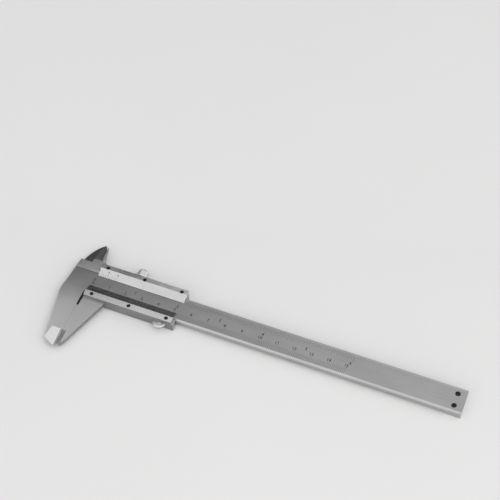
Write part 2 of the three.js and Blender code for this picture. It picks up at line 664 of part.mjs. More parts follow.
const clamp = new THREE.Group();
clamp.position.set(LOCK_X, 0, MID_Z);
clamp.add(part("lock_pad", cylinderAlongY(0, 0, LOCK_PAD.radius, LOCK_PAD.innerY, LOCK_PAD.outerY), brass));
clamp.add(part("lock_screw", lockScrewGeometry(), knurledSteel));
slider.add(clamp);

const pinLength = ROLLER_PIN.frontZ - ROLLER_PIN.backZ;
const rollerPin = cylinderAlongZ(0, 0, ROLLER_PIN.radius, 0, pinLength);
slider.add(part("thumb_roller", rollerGeometry(), knurledSteel, [ROLLER.x, ROLLER.y, 0]));
slider.add(part("roller_pin", rollerPin, groundSteel, [ROLLER.x, ROLLER.y, ROLLER_PIN.backZ]));

slider.add(part("depth_rod", depthRodGeometry(), groundSteel));
ROD_SCREW_X.forEach((x, i) => {
  const screw = screwAlongZ(ROD_SCREW, ROD_SCREW.tipZ - SLIDER_BACK_Z).rotateX(Math.PI);
  slider.add(part(`depth_rod_screw_${i + 1}`, screw, blackenedSteel, [x, 0, SLIDER_BACK_Z]));
});

slider.add(part("back_cover", backCoverGeometry(), satinSteel));
coverScrewPlaces().forEach(([x, y], i) => {
  const screw = screwAlongZ(COVER_SCREW, COVER_SCREW.tipZ - COVER_SCREW_TOP_Z).rotateX(Math.PI);
  slider.add(part(`back_cover_screw_${i + 1}`, screw, blackenedSteel, [x, y, COVER_SCREW_TOP_Z]));
});

const caliper = new THREE.Group();
caliper.add(beam, slider);
const extent = new THREE.Box3().setFromObject(caliper);
const centre = extent.getCenter(new THREE.Vector3());
caliper.position.set(-centre.x, -centre.y, -extent.min.z);

const model = new THREE.Group();
model.add(caliper);

export default model;
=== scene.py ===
import math

import bmesh
import bpy
from mathutils import Matrix, Vector


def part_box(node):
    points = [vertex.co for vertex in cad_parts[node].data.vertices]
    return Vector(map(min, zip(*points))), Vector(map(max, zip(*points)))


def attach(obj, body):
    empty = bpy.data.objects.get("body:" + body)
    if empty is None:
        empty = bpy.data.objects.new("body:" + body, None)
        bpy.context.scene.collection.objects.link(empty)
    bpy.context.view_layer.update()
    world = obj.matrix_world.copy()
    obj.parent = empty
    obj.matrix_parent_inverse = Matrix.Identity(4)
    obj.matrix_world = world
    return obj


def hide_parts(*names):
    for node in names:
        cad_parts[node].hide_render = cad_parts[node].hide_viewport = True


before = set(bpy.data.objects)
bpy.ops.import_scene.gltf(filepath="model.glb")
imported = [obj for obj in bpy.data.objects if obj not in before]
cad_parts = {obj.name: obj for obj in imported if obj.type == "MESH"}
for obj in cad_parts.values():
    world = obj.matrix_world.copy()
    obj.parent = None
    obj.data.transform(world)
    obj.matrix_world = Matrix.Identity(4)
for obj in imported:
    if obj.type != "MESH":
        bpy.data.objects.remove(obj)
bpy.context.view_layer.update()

MM = 0.001

# ---- the caliper's own axes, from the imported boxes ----
# X from the line where the jaws meet, Y from the beam's centreline, Z from the front of the beam's land.
BEAM_LENGTH = 219 * MM  # from the line where the jaws meet to the beam's far end
ROD_LOW, ROD_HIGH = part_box("depth_rod")
_, BEAM_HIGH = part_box("beam")
ORIGIN = Vector((BEAM_HIGH.x - BEAM_LENGTH, (ROD_LOW.y + ROD_HIGH.y) / 2, BEAM_HIGH.z))
FLOOR_Z = -5.5  # the plane that the caliper lies on, in millimetres
SCALE_DEPTH = 0.15 * MM  # the scale face is sunk this far below the land

UPPER_LOW, UPPER_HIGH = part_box("upper_vernier_plate")
LOWER_LOW, LOWER_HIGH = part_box("lower_vernier_plate")
PLATE_EDGE = 0.25 * MM  # thickness of a vernier plate at its bevelled edge
UPPER_BEVEL = 4.4 * MM  # width of each bevel across the beam
LOWER_BEVEL = 4.7 * MM


def at(x, y, z):
    """The point that is x, y and z millimetres along the caliper's own axes."""
    return ORIGIN + Vector((x, y, z)) * MM


def from_jaws(point):
    """How far a point is along the caliper's own axes, in millimetres."""
    return (point - ORIGIN) / MM


def middle(low, high):
    """The point half way between two corners."""
    return [(a + b) / 2 for a, b in zip(low, high)]


# ---- shader nodes ----
# A Mix node has sockets of the same name for each kind of data. These are the places of its colour ones.
MIX_FIRST = 6
MIX_SECOND = 7
MIX_RESULT = 2


class Shader:
    """A material's node tree, with short calls for the nodes that the materials share."""

    def __init__(self, name):
        self.material = bpy.data.materials.new(name)
        self.material.use_nodes = True
        self.tree = self.material.node_tree
        self.tree.nodes.clear()
        self.output = self.node("ShaderNodeOutputMaterial")
        self.surface = self.node("ShaderNodeBsdfPrincipled")
        self.link(self.surface.outputs["BSDF"], self.output.inputs["Surface"])
        self.place = self.node("ShaderNodeTexCoord").outputs["Object"]
        parts = self.node("ShaderNodeSeparateXYZ")
        self.link(self.place, parts.inputs["Vector"])
        self.x = parts.outputs["X"]
        self.y = parts.outputs["Y"]

    def node(self, kind):
        return self.tree.nodes.new(kind)

    def link(self, source, target):
        self.tree.links.new(source, target)

    def feed(self, value, socket):
        """Sets the socket to a number or a colour, or links a node's output to it."""
        if isinstance(value, (int, float, tuple)):
            socket.default_value = value
        else:
            self.link(value, socket)

    def noise(self, scale, detail=3.0, rough=0.55, turn=(0, 0, 0), distort=0.0):
        """Noise of a scale given along each axis, in cycles per metre."""
        mapping = self.node("ShaderNodeMapping")
        mapping.inputs["Rotation"].default_value = turn
        mapping.inputs["Scale"].default_value = scale
        self.link(self.place, mapping.inputs["Vector"])
        noise = self.node("ShaderNodeTexNoise")
        noise.inputs["Scale"].default_value = 1.0
        noise.inputs["Detail"].default_value = detail
        noise.inputs["Roughness"].default_value = rough
        noise.inputs["Distortion"].default_value = distort
        self.link(mapping.outputs["Vector"], noise.inputs["Vector"])
        return noise.outputs["Fac"]

    def spread(self, value, low, high, to_low=0.0, to_high=1.0):
        """The value stretched from low..high to to_low..to_high, and held there."""
        node = self.node("ShaderNodeMapRange")
        node.clamp = True
        self.feed(value, node.inputs["Value"])
        node.inputs["From Min"].default_value = low
        node.inputs["From Max"].default_value = high
        node.inputs["To Min"].default_value = to_low
        node.inputs["To Max"].default_value = to_high
        return node.outputs["Result"]

    def math(self, operation, first, second):
        node = self.node("ShaderNodeMath")
        node.operation = operation
        self.feed(first, node.inputs[0])
        self.feed(second, node.inputs[1])
        return node.outputs["Value"]

    def times(self, value, factor):
        return self.math("MULTIPLY", value, factor)

    def blend(self, amount, first, second):
        """A colour between two colours."""
        node = self.node("ShaderNodeMix")
        node.data_type = "RGBA"
        self.feed(amount, node.inputs["Factor"])
        self.feed(first, node.inputs[MIX_FIRST])
        self.feed(second, node.inputs[MIX_SECOND])
        return node.outputs[MIX_RESULT]

    def mark(self, name):
        """The value that the mesh code stored on each face under this name."""
        node = self.node("ShaderNodeAttribute")
        node.attribute_name = name
        return node.outputs["Fac"]

    def bump(self, height, strength, distance):
        node = self.node("ShaderNodeBump")
        node.inputs["Strength"].default_value = strength
        node.inputs["Distance"].default_value = distance
        self.feed(height, node.inputs["Height"])
        self.link(node.outputs["Normal"], self.surface.inputs["Normal"])

    def coat(self, colour, roughness, metallic=0.0):
        """Gives the surface its colour and its roughness, which may vary, and its metallic value."""
        self.feed(colour, self.surface.inputs["Base Color"])
        self.feed(roughness, self.surface.inputs["Roughness"])
        self.surface.inputs["Metallic"].default_value = metallic


def grey(value, warmth=0.0):
    return (value * (1 + warmth), value, value * (1 - warmth), 1.0)


def even(scale):
    """The same noise scale along each axis."""
    return (scale, scale, scale)


# ---- materials ----
NOISE_RANGE = (0.3, 0.7)  # most of a noise node's values lie between these

# noise scales along X, Y and Z, in cycles per metre
ALONG_BEAM = (70, 3600, 3600)
ALL_ROUND = even(2600)
CLOUD = (70, 90, 90)
SMEAR = (28, 45, 45)
HAIR = (45, 5200, 3000)
HAIR_BACK = (60, 4300, 3000)
BROAD_GRAIN = (0.4, 0.12, 0.12)  # scale of the broad grain, against that of the fine grain

# directions, in radians round Z
SMEAR_TURN = (0, 0, 0.5)
HAIR_TURN = (0, 0, 0.28)
HAIR_BACK_TURN = (0, 0, -0.62)

SCRATCH_COLOUR = grey(0.86)
WORN_COLOUR = grey(0.82, 0.01)
# painted shade: the dark colour put on faces in slots, beside steps and on sides that mirror dark
# surroundings
PAINTED_SHADE_COLOUR = grey(0.09, 0.02)

# Painted sheen: the steel's colour gets brighter between these places on the outside jaws and the head,
# in millimetres.
JAW_SHEEN_Y = (-6, -17)
HEAD_SHEEN_X = (4, -6)
HEAD_SHEEN = 0.3  # how strong this is on the head, against the jaws

# what the marks on the steel do to its roughness
GRAIN_ROUGHNESS = 0.04
WEAR_ROUGHNESS = 0.08
PAINTED_SHADE_ROUGHNESS = 0.12
LEAST_ROUGHNESS = 0.12


def scratch_lines(shader, cloud, strength):
    """Two sets of fine scratches at a slant to each other, stronger in some places than in others."""
    hair = shader.noise(HAIR, detail=1.0, turn=HAIR_TURN)
    hair_back = shader.noise(HAIR_BACK, detail=1.0, turn=HAIR_BACK_TURN)
    lines = shader.math(
        "MAXIMUM",
        shader.spread(hair, low=0.70, high=0.76),
        shader.spread(hair_back, low=0.71, high=0.77),
    )
    return shader.times(lines, shader.spread(cloud, low=0.42, high=0.62, to_high=strength))


def buff(shader, colour, polish_sheen_colour, strength):
    """The colour with a painted sheen, brighter towards the tips of the outside jaws and on the head."""
    start, end = (at(0, y, 0).y for y in JAW_SHEEN_Y)
    near_tips = shader.spread(shader.y, start, end, to_high=strength)
    start, end = (at(x, 0, 0).x for x in HEAD_SHEEN_X)
    near_head = shader.spread(shader.x, start, end, to_high=strength * HEAD_SHEEN)
    return shader.blend(shader.math("ADD", near_tips, near_head), colour, polish_sheen_colour)


def steel(name, dark, light, polish_sheen_colour, roughness, grain, grain_depth, scratches=0.5, sheen_strength=0.0):
    """Ground or satin steel: a directional grain, cloudy handling marks, fine scratches, worn edges,
    polish with painted sheen, and painted shade.

    dark and light are the two ends of the grain's colour, and polish_sheen_colour is the colour of a
    polished face, also used for painted sheen.
    roughness is its lowest and highest value. grain is a noise scale, and grain_depth is in metres.
    scratches is how strong the scratches are, and sheen_strength is how strong the painted sheen gets
    towards the tips of the outside jaws.
    """
    shader = Shader(name)
    fine = shader.noise(grain, detail=3.0, rough=0.6)
    broad_scale = tuple(scale * factor for scale, factor in zip(grain, BROAD_GRAIN))
    broad = shader.noise(broad_scale, detail=2.0)
    cloud = shader.noise(CLOUD, detail=4.0, rough=0.6)
    smear = shader.noise(SMEAR, detail=2.0, turn=SMEAR_TURN, distort=0.6)
    lines = scratch_lines(shader, cloud, scratches)

    wear = shader.times(shader.mark("wear"), shader.spread(cloud, low=0.3, high=0.6, to_low=0.45))
    # polish and painted sheen: marked faces take the brighter colour of a polished face
    polish_sheen_mask = shader.mark("polish_and_sheen")
    # painted shade on the faces that the mesh code marks, broken up a little by the cloud noise
    painted_shade = shader.times(shader.mark("painted_shade"), shader.spread(cloud, *NOISE_RANGE, to_low=0.75))

    tone = shader.math(
        "ADD",
        shader.spread(fine, *NOISE_RANGE, to_high=0.55),
        shader.spread(smear, *NOISE_RANGE, to_high=0.45),
    )
    colour = shader.blend(tone, dark, light)
    # painted sheen, brighter towards the tips of the outside jaws and on the head
    if sheen_strength:
        colour = buff(shader, colour, polish_sheen_colour, sheen_strength)
    colour = shader.blend(polish_sheen_mask, colour, polish_sheen_colour)
    colour = shader.blend(shader.times(lines, 0.35), colour, SCRATCH_COLOUR)
    colour = shader.blend(shader.times(wear, 0.8), colour, WORN_COLOUR)
    colour = shader.blend(painted_shade, colour, PAINTED_SHADE_COLOUR)

    low, high = roughness
    value = shader.spread(cloud, *NOISE_RANGE, low, high)
    streaks = shader.spread(fine, *NOISE_RANGE, -GRAIN_ROUGHNESS, GRAIN_ROUGHNESS)
    value = shader.math("ADD", value, streaks)
    value = shader.math("SUBTRACT", value, shader.times(wear, WEAR_ROUGHNESS))
    value = shader.math("ADD", value, shader.times(painted_shade, PAINTED_SHADE_ROUGHNESS))
    value = shader.math("MAXIMUM", value, LEAST_ROUGHNESS)
    shader.coat(colour, value, metallic=1.0)

    height = shader.math("ADD", shader.times(fine, 0.7), shader.times(broad, 0.5))
    height = shader.math("SUBTRACT", height, shader.times(lines, 0.8))
    shader.bump(height, strength=0.35, distance=grain_depth)
    return shader.material


def black_oxide(name, base, edge, roughness):
    """Blackened steel: a slightly mottled oxide that has rubbed off along the edges."""
    shader = Shader(name)
    mottle = shader.noise(even(900), detail=4.0)
    patch = shader.noise(even(260), detail=2.0)
    wear = shader.times(shader.mark("wear"), shader.spread(patch, low=0.35, high=0.6))
    colour = shader.blend(shader.spread(mottle, *NOISE_RANGE), grey(base), grey(base * 1.9))
    colour = shader.blend(wear, colour, edge)
    value = shader.spread(mottle, *NOISE_RANGE, roughness - 0.08, roughness + 0.1)
    value = shader.math("SUBTRACT", value, shader.times(wear, 0.15))
    shader.coat(colour, value, metallic=0.75)
    shader.bump(mottle, strength=0.3, distance=0.012 * MM)
    return shader.material


def mark_ink(name):
    """The dark fill of the engraved lines and figures: matt, and slightly uneven."""
    shader = Shader(name)
    uneven = shader.noise(even(1500), detail=3.0)
    colour = shader.blend(shader.spread(uneven, *NOISE_RANGE), grey(0.012), grey(0.05))
    shader.coat(colour, shader.spread(uneven, *NOISE_RANGE, to_low=0.55, to_high=0.75))
    shader.bump(uneven, strength=0.25, distance=0.008 * MM)
    return shader.material


BRASS_DARK = (0.62, 0.43, 0.17, 1)
BRASS_LIGHT = (0.78, 0.58, 0.28, 1)
BRASS_STAIN = (0.34, 0.22, 0.1, 1)


def brass_metal(name):
    """Machined brass: a fine grain, with a few darker stains."""
    shader = Shader(name)
    grain = shader.noise((200, 3500, 3500), detail=3.0)
    stain = shader.noise((150, 220, 220), detail=4.0)
    colour = shader.blend(shader.spread(grain, *NOISE_RANGE), BRASS_DARK, BRASS_LIGHT)
    colour = shader.blend(shader.spread(stain, low=0.5, high=0.8, to_high=0.6), colour, BRASS_STAIN)
    shader.coat(colour, shader.spread(stain, *NOISE_RANGE, to_low=0.26, to_high=0.44), metallic=1.0)
    shader.bump(grain, strength=0.3, distance=0.01 * MM)
    return shader.material


def floor_paint(name):
    """Pale matt paint."""
    shader = Shader(name)
    cloud = shader.noise(even(5), detail=3.0)
    grain = shader.noise(even(900), detail=2.0)
    colour = shader.blend(cloud, grey(0.74, 0.01), grey(0.78, 0.01))
    shader.coat(colour, shader.spread(grain, *NOISE_RANGE, to_low=0.6, to_high=0.72))
    shader.bump(grain, strength=0.05, distance=0.05 * MM)
    return shader.material


SATIN = steel(
    "satin_steel",
    dark=grey(0.40),
    light=grey(0.52, 0.005),
    polish_sheen_colour=grey(0.88),
    roughness=(0.34, 0.46),
    grain=ALONG_BEAM,
    grain_depth=0.010 * MM,
    sheen_strength=0.4,
)
GROUND = steel(
    "ground_steel",
    dark=grey(0.56),
    light=grey(0.68),
    polish_sheen_colour=grey(0.92),
    roughness=(0.24, 0.36),
    grain=ALONG_BEAM,
    grain_depth=0.005 * MM,
)
KNURLED = steel(
    "knurled_steel",
    dark=grey(0.74),
    light=grey(0.86),
    polish_sheen_colour=grey(0.9),
    roughness=(0.34, 0.46),
    grain=ALL_ROUND,
    grain_depth=0.006 * MM,
    scratches=0.2,
)
BLACKENED = black_oxide("blackened_steel", base=0.022, edge=grey(0.3), roughness=0.42)
INK = mark_ink("mark_ink")
BRASS = brass_metal("brass")


# ---- mesh helpers ----
SHARP_ANGLE = math.radians(32)  # shading breaks at edges above this
CORNER_ANGLE = math.radians(28)  # edges above this are rounded over
CREASE_ANGLE = math.radians(1.5)  # facets of the flat faces stay crisp above this
FLAT_ANGLE = math.radians(0.6)  # faces that meet below this are joined
WELD = 2e-7  # points nearer than this are one, in metres
MARK_WELD = 1e-7
SIDE_SLOPE = 0.3  # a face's normal.z below this makes it a side


def finish_piece(bm, name, material, body, nodes=()):
    """Turns a bmesh into a piece that rides on a body and stands for the CAD nodes named."""
    mesh = bpy.data.meshes.new(name)
    bmesh.ops.recalc_face_normals(bm, faces=bm.faces)
    for face in bm.faces:
        face.smooth = True
    for edge in bm.edges:
        if edge.calc_face_angle(0) > SHARP_ANGLE:
            edge.smooth = False
    bm.to_mesh(mesh)
    bm.free()
    mesh.materials.append(material)
    piece = bpy.data.objects.new(name, mesh)
    bpy.context.scene.collection.objects.link(piece)
    normals = piece.modifiers.new("even_shading", "WEIGHTED_NORMAL")
    normals.keep_sharp = True
    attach(piece, body)
    if nodes:
        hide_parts(*nodes)
    return piece


def new_layers(bm):
    """Adds the values that the steel's shader reads from each face."""
    for name in ("wear", "polish_and_sheen", "painted_shade"):
        if bm.faces.layers.float.get(name) is None:
            bm.faces.layers.float.new(name)


def mark_worn(bm, test):
    """Marks the faces whose centre passes the test as worn."""
    layer = bm.faces.layers.float["wear"]
    for face in bm.faces:
        if test(face.calc_center_median()):
            face[layer] = 1.0


def set_where(bm, layer_name, value, test):
    """Stores a value on the faces whose centre, in millimetres, and normal pass the test."""
    layer = bm.faces.layers.float[layer_name]
    for face in bm.faces:
        if test(from_jaws(face.calc_center_median()), face.normal):
            face[layer] = value


def ease_edges(bm, edges, width, segments=2):
    """Rounds edges over and marks the rounded strips as worn."""
    made = bmesh.ops.bevel(
        bm,
        geom=edges,
        offset=width,
        offset_type="OFFSET",
        segments=segments,
        profile=0.5,
        affect="EDGES",
        clamp_overlap=True,
    )
    wear = bm.faces.layers.float["wear"]
    for face in made["faces"]:
        face[wear] = 1.0


def is_corner(edge):
    return len(edge.link_faces) == 2 and edge.calc_face_angle(0) > CORNER_ANGLE


def is_side(normal):
    return abs(normal.z) < SIDE_SLOPE


def keep_creases(bm):
    """Keeps the edges of the flat front and back facets crisp, so that no shading runs across them."""
    wear = bm.faces.layers.float["wear"]
    for edge in bm.edges:
        if edge.calc_face_angle(0) > CREASE_ANGLE:
            if any(face[wear] == 0 and abs(face.normal.z) > SIDE_SLOPE for face in edge.link_faces):
                edge.smooth = False


def divide(bm, axis, place):
    """Divides the faces along the plane at a place on the X or Y axis, in millimetres from the jaws."""
    geometry = bm.verts[:] + bm.edges[:] + bm.faces[:]
    normal = Vector((axis == "x", axis == "y", 0))
    bmesh.ops.bisect_plane(bm, geom=geometry, dist=1e-7, plane_co=at(place, place, 0), plane_no=normal)


def eased_copy(node, width, broad=None, broad_width=0.0, cuts=()):
    """A copy of a CAD node's mesh with its edges rounded over.

    The edges that broad() picks are rounded more. cuts are (axis, millimetres) where the faces are
    divided, so that each side can have its own polish, painted sheen and painted shade.
    """
    bm = bmesh.new()
    bm.from_mesh(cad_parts[node].data)
    bmesh.ops.remove_doubles(bm, verts=bm.verts, dist=WELD)
    bmesh.ops.dissolve_limit(bm, angle_limit=FLAT_ANGLE, verts=bm.verts, edges=bm.edges)
    new_layers(bm)
    for axis, place in cuts:
        divide(bm, axis, place)
    narrow = bm.edges.layers.int.new("narrow")
    chosen = []
    for edge in bm.edges:
        if not is_corner(edge):
            continue
        if broad is not None and broad(from_jaws(edge.verts[0].co), from_jaws(edge.verts[1].co)):
            chosen.append(edge)
        else:
            edge[narrow] = 1
    if chosen:
        ease_edges(bm, chosen, broad_width, segments=3)
    ease_edges(bm, [e for e in bm.edges if e[narrow] == 1 and is_corner(e)], width)
    keep_creases(bm)
    return bm


def lathe(rings, sides, reach=lambda radius, height, angle: radius):
    """A closed solid turned round the local Z axis.

    rings are (radius, height), and a radius of 0 is a pole. Without poles they close up into a tube.
    reach gives the radius at each point of a ring, for teeth.
    """
    bm = bmesh.new()
    new_layers(bm)
    loops = []
    for radius, height in rings:
        if radius == 0:
            loops.append([bm.verts.new((0, 0, height))])
            continue
        loop = []
        for i in range(sides):
            angle = 2 * math.pi * i / sides
            r = reach(radius, height, angle)
            loop.append(bm.verts.new((r * math.cos(angle), r * math.sin(angle), height)))
        loops.append(loop)
    pairs = list(zip(loops, loops[1:]))
    is_tube = rings[0][0] != 0
    if is_tube:
        pairs.append((loops[-1], loops[0]))
    for first, second in pairs:
        for i in range(sides):
            j = (i + 1) % sides
            if len(first) == 1:
                bm.faces.new((first[0], second[i], second[j]))
            elif len(second) == 1:
                bm.faces.new((first[i], second[0], first[j]))
            else:
                bm.faces.new((first[i], second[i], second[j], first[j]))
    bmesh.ops.recalc_face_normals(bm, faces=bm.faces)
    return bm


def stand_along_y(bm, x, y, z):
    """Turns a lathed solid's axis to +Y and moves its foot to the place given."""
    bm.transform(Matrix.Rotation(-math.pi / 2, 4, "X"))
    bm.transform(Matrix.Translation((x, y, z)))


def block(low, high):
    """A box between two corners."""
    bm = bmesh.new()
    bmesh.ops.create_cube(bm, size=1)
    size = [b - a for a, b in zip(low, high)]
    bm.transform(Matrix.Translation(middle(low, high)) @ Matrix.Diagonal((*size, 1)))
    return bm


def subtract(bm, cutter):
    """bm with the cutter's solid taken away."""
    objects = []
    for part in (bm, cutter):
        mesh = bpy.data.meshes.new("temporary")
        part.to_mesh(mesh)
        part.free()
        thing = bpy.data.objects.new("temporary", mesh)
        bpy.context.scene.collection.objects.link(thing)
        objects.append(thing)
    target, tool = objects
    difference = target.modifiers.new("cut", "BOOLEAN")
    difference.operation = "DIFFERENCE"
    difference.solver = "EXACT"
    difference.object = tool
    evaluated = target.evaluated_get(bpy.context.evaluated_depsgraph_get())
    result = bmesh.new()
    result.from_mesh(evaluated.to_mesh())
    evaluated.to_mesh_clear()
    for thing in objects:
        mesh = thing.data
        bpy.data.objects.remove(thing)
        bpy.data.meshes.remove(mesh)
    return result


# ---- big parts: the CAD shape with eased edges ----
# places along the caliper's own axes, in millimetres
LAND_Y = 5.97  # lower side of the land
LAND_TOP_Y = 7.6  # upper side of the land
INSIDE_JAW_Y = 13.0  # where the fixed inside jaw starts, above the head
HEAD_RIGHT_X = 2.6  # right side of the head above the beam
TIP_Y = -35.6  # where the outside jaws start to thin

FRONT_SLOPE = 0.9  # a face's normal.z above this makes it a front face
TIP_FACET_SLOPE = (0.93, 0.9975)  # normal.z of the broad facets that thin the tips
STEEP_FACET_SLOPE = (0.5, 0.93)  # normal.z of the narrow facets beside the measuring edges


def jaw_back_edge(a, b):
    """The outer front edge of an outside jaw, away from the measuring line."""
    front = min(a.z, b.z) > -0.4
    low = min(a.y, b.y) < -8 and max(a.y, b.y) < -4
    centre = (a + b) / 2
    inner = abs(centre.x) < 1.5 and centre.y > -45
    level = abs(a.y - b.y) < 0.3 and centre.y > -40
    return front and low and not inner and not level


# These say whether a face, with its centre at p in millimetres from the jaws and its normal n, is ...
def is_relief(p, n):
    """... a wall of the slot at the root of the outside jaws."""
    return is_side(n) and -0.6 < p.x < 1.5 and -18.5 < p.y < -7.5


def is_tip_facet(p, n):
    """... a broad facet that thins the tip of an outside jaw."""
    return TIP_FACET_SLOPE[0] < n.z < TIP_FACET_SLOPE[1] and p.y < TIP_Y


def is_steep(p, n):
    """... a narrow facet beside the measuring edge at the tip of an outside jaw."""
    return STEEP_FACET_SLOPE[0] < n.z < STEEP_FACET_SLOPE[1] and p.y < TIP_Y


def is_land(p, n):
    """... the front of the beam's land, or of the head beside it."""
    return n.z > FRONT_SLOPE and LAND_Y - 0.1 < p.y < LAND_TOP_Y


def is_head(p, n):
    """... the front of the head, on the left of the slider."""
    return n.z > FRONT_SLOPE and p.x < HEAD_RIGHT_X


def make_beam():
    cuts = (("y", LAND_TOP_Y), ("y", LAND_Y - 0.5), ("x", HEAD_RIGHT_X))
    bm = eased_copy("beam", 0.12 * MM, jaw_back_edge, 0.4 * MM, cuts)
    # polish and painted sheen: the land, head, inside jaw and tip facets are painted brighter, partly as
    # ground faces, partly as painted highlights
    set_where(bm, "polish_and_sheen", 0.12, lambda p, n: is_land(p, n) and p.z > -0.1)
    set_where(bm, "polish_and_sheen", 1.0, lambda p, n: is_land(p, n) and is_head(p, n))
    set_where(bm, "polish_and_sheen", 0.22, lambda p, n: is_head(p, n) and LAND_TOP_Y < p.y < INSIDE_JAW_Y)
    set_where(bm, "polish_and_sheen", 0.7, lambda p, n: n.z > 0.5 and p.y >= INSIDE_JAW_Y)
    set_where(bm, "polish_and_sheen", 0.9, is_tip_facet)
    # painted shade on the head just below the step down from the land
    set_where(bm, "painted_shade", 0.5, lambda p, n: is_head(p, n) and LAND_Y - 0.5 < p.y < LAND_Y)
    # painted shade on the small step from the land down to the scale face
    set_where(bm, "painted_shade", 0.8, lambda p, n: n.y < -0.8 and -0.16 < p.z < 0 and abs(p.y - LAND_Y) < 0.2)
    # painted shade on the steep facets beside the measuring edges and on the walls of the slot at the
    # jaws' root
    set_where(bm, "painted_shade", 0.65, is_steep)
    set_where(bm, "painted_shade", 0.95, is_relief)
    finish_piece(bm, "beam_bar", SATIN, "beam", ["beam"])


def make_slider():
    bm = eased_copy("slider_body", 0.14 * MM, jaw_back_edge, 0.4 * MM)
    # painted dark reflection on the lower sides, which mirror the dark surroundings in the photograph
    set_where(bm, "painted_shade", 0.65, lambda p, n: is_side(n) and n.y < 0 and p.y < -9 and p.x > 2)
    # painted shade on the front of the sliding inside jaw
    set_where(bm, "painted_shade", 0.9, lambda p, n: n.z > 0.3 and p.y > 12 and p.z < -1.4)
    # a little painted sheen on the tip facets, less than on the fixed jaw's
    set_where(bm, "polish_and_sheen", 0.3, is_tip_facet)
    # painted shade on the steep facets beside the measuring edges and on the walls of the slot at the
    # jaws' root
    set_where(bm, "painted_shade", 0.65, is_steep)
    set_where(bm, "painted_shade", 0.95, is_relief)
    finish_piece(bm, "slider_frame", SATIN, "slider", ["slider_body"])


def make_vernier_plates():
    for row, sign, plate_sheen in (("upper", 1, 1.0), ("lower", -1, 0.7)):
        name = f"{row}_vernier_plate"
        bm = eased_copy(name, 0.07 * MM)
        # painted shade along the outer side of each plate
        set_where(bm, "painted_shade", 0.75, lambda p, n: is_side(n) and n.y * sign > 0.8)
        # polish and painted sheen on the front face, more on the upper plate than on the lower
        set_where(bm, "polish_and_sheen", plate_sheen, lambda p, n: n.z > 0.995)
        finish_piece(bm, f"{row}_vernier", GROUND, "slider", [name])


def make_plain_parts():
    cover = eased_copy("back_cover", 0.15 * MM)
    finish_piece(cover, "rear_cover", SATIN, "slider", ["back_cover"])
    stop = eased_copy("end_stop", 0.2 * MM)
    finish_piece(stop, "rear_end_stop", SATIN, "beam", ["end_stop"])
    rod = eased_copy("depth_rod", 0.08 * MM)
    finish_piece(rod, "depth_blade", GROUND, "slider", ["depth_rod"])
    gib = eased_copy("gib_strip", 0.05 * MM)
    finish_piece(gib, "gib", BRASS, "slider", ["gib_strip"])


# ---- slotted screws ----
# side is 1 where the head is towards +Z and -1 where it is towards -Z
PLATE_SCREW = {
    "side": 1,
    "slot_width": 0.3 * MM,
    "slot_depth": 0.35 * MM,
    "head_height": 0.7 * MM,
    "shank_radius": 0.6 * MM,
}
END_SCREW = {
    "side": 1,
    "slot_width": 0.4 * MM,
    "slot_depth": 0.4 * MM,
    "head_height": 0.9 * MM,
    "shank_radius": 0.8 * MM,
}
ROD_SCREW = {
    "side": -1,
    "slot_width": 0.3 * MM,
    "slot_depth": 0.3 * MM,
    "head_height": 0.6 * MM,
    "shank_radius": 0.55 * MM,
}
COVER_SCREW = {
    "side": -1,
    "slot_width": 0.3 * MM,
    "slot_depth": 0.3 * MM,
    "head_height": 0.5 * MM,
    "shank_radius": 0.6 * MM,
}
HEAD_SIDES = 40
SHANK_SIDES = 32
HEAD_EASE = 0.16 * MM
UNDER_HEAD_GAP = 0.02 * MM
SHANK_EASE = 0.1 * MM
SET_SCREW_EASE = 0.1 * MM
SET_SLOT_HALF_WIDTH = 0.17 * MM
SET_SLOT_DEPTH = 0.6 * MM
PAST_SCREW = 1 * MM  # how far a cutter reaches past the screw

# which way each screw's slot points, in radians: plate screws, end screws, rod screws, then cover screws
SLOT_TURNS = [0.35, 1.9, 0.9, 2.5, 1.35, 0.1, 2.9, 0.6, 1.6, 2.2, 0.8, 1.1, 2.7, 0.2]


def slotted_screw(node, turn, side, slot_width, slot_depth, head_height, shank_radius):
    """A cheese-head screw in the place of a CAD screw."""
    low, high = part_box(node)
    radius = (high.y - low.y) / 2
    length = high.z - low.z
    head_foot = -head_height + UNDER_HEAD_GAP
    rings = [
        (0, 0),
        (radius * 0.5, 0),
        (radius - HEAD_EASE, 0),
        (radius - HEAD_EASE * 0.3, -HEAD_EASE * 0.35),
        (radius, -HEAD_EASE),
        (radius, head_foot),
        (shank_radius, head_foot),
        (shank_radius, -length + SHANK_EASE),
        (shank_radius - SHANK_EASE, -length),
        (0, -length),
    ]
    bm = lathe(rings, HEAD_SIDES)
    groove = block(
        (-radius * 2, -slot_width / 2, -slot_depth),
        (radius * 2, slot_width / 2, PAST_SCREW),
    )
    groove.transform(Matrix.Rotation(turn, 4, "Z"))
    bm = subtract(bm, groove)
    new_layers(bm)
    mark_worn(
        bm,
        lambda p: math.hypot(p.x, p.y) > radius - HEAD_EASE * 1.1 and p.z > -HEAD_EASE * 1.2,
    )
    if side < 0:
        bm.transform(Matrix.Rotation(math.pi, 4, "X"))
    top = high.z if side > 0 else low.z
    centre_x, centre_y, _ = middle(low, high)
    bm.transform(Matrix.Translation((centre_x, centre_y, top)))
    return bm


